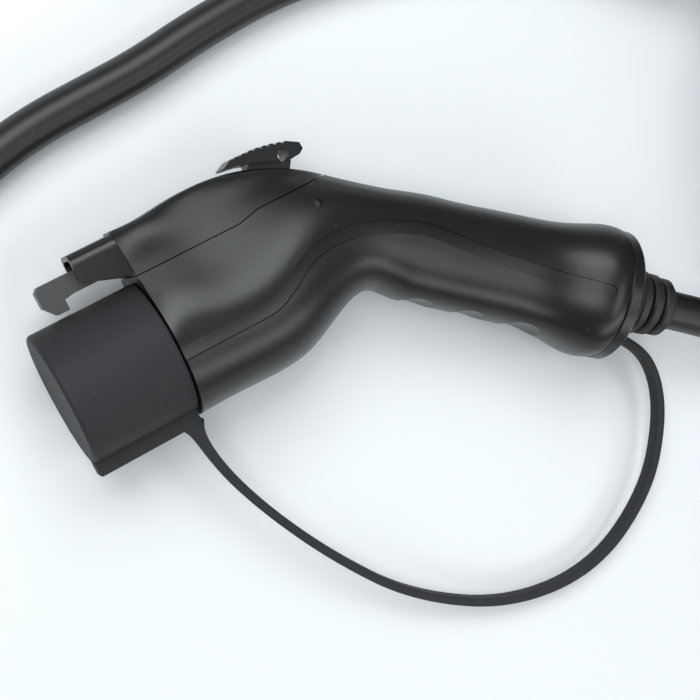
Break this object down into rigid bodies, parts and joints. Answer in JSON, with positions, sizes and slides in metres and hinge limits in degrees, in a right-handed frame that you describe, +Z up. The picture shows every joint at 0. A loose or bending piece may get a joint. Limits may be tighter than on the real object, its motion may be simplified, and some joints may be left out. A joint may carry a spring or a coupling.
{
  "type": "ev charging plug",
  "caption": "Handheld charging plug for an electric car: round nose under a tethered rubber cap, thumb latch, curved grip and its cable",
  "frame": {"origin": "on the nose axis at the front face of the barrel", "axes": "X runs back along the nose axis, Y to the latch side, Z up: the plug lies on its side"},
  "size_m": [0.5125, 0.303, 0.0675],
  "materials": {
    "housing_plastic": "satin moulded black",
    "latch_plastic": "satin moulded dark grey",
    "cap_rubber": "matte moulded rubber",
    "boot_rubber": "matte moulded rubber",
    "cable_jacket": "semi-matte extruded jacket",
    "contact_metal": "silver-plated copper alloy",
    "contact_block": "glass-filled insulating plastic",
    "steel": "plain",
    "board": "resin board",
    "switch_case": "moulded",
    "wire_ends": "insulated cores",
    "tie_fabric": "woven hook and loop"
  },
  "bodies": {
    "housing": {"body_shell": "housing_plastic", "top_cover": "housing_plastic", "nose_barrel": "housing_plastic", "contact_core": "contact_block", "power_socket_1": "contact_metal", "power_socket_2": "contact_metal", "ground_socket": "contact_metal", "pilot_socket": "contact_metal", "proximity_socket": "contact_metal", "terminal_board": "board", "cap_tether": "cap_rubber", "tether_ring": "cap_rubber", "pivot_pin": "steel", "latch_spring": "steel", "spring_carrier": "switch_case", "microswitch": "switch_case", "cover_pin": "steel", "rear_collar": "housing_plastic", "strain_relief": "boot_rubber", "cable_clamp": "switch_case", "clamp_screws": "steel", "cable_entry": "cable_jacket", "cable_run": "cable_jacket", "cable_coil": "cable_jacket", "cable_lead": "cable_jacket", "conductor_ends": "wire_ends", "coil_tie": "tie_fabric"},
    "latch": {"latch_lever": "latch_plastic", "thumb_button": "housing_plastic"},
    "cap": {"dust_cap": "cap_rubber"}
  },
  "joints": [
    {"name": "latch_pivot", "type": "hinge", "parent": "housing", "child": "latch", "pos_m": [0.072, 0.036, 0], "axis": [0, 0, -1], "range_deg": [0, 3.4], "stiffness_Nm_per_rad": 2, "springref_deg": -5.73, "deforming": ["latch_spring"]},
    {"name": "cap_pull", "type": "slide", "parent": "housing", "child": "cap", "axis": [-1, 0, 0], "range_m": [0, 0.06], "deforming": ["cap_tether"]}
  ]
}
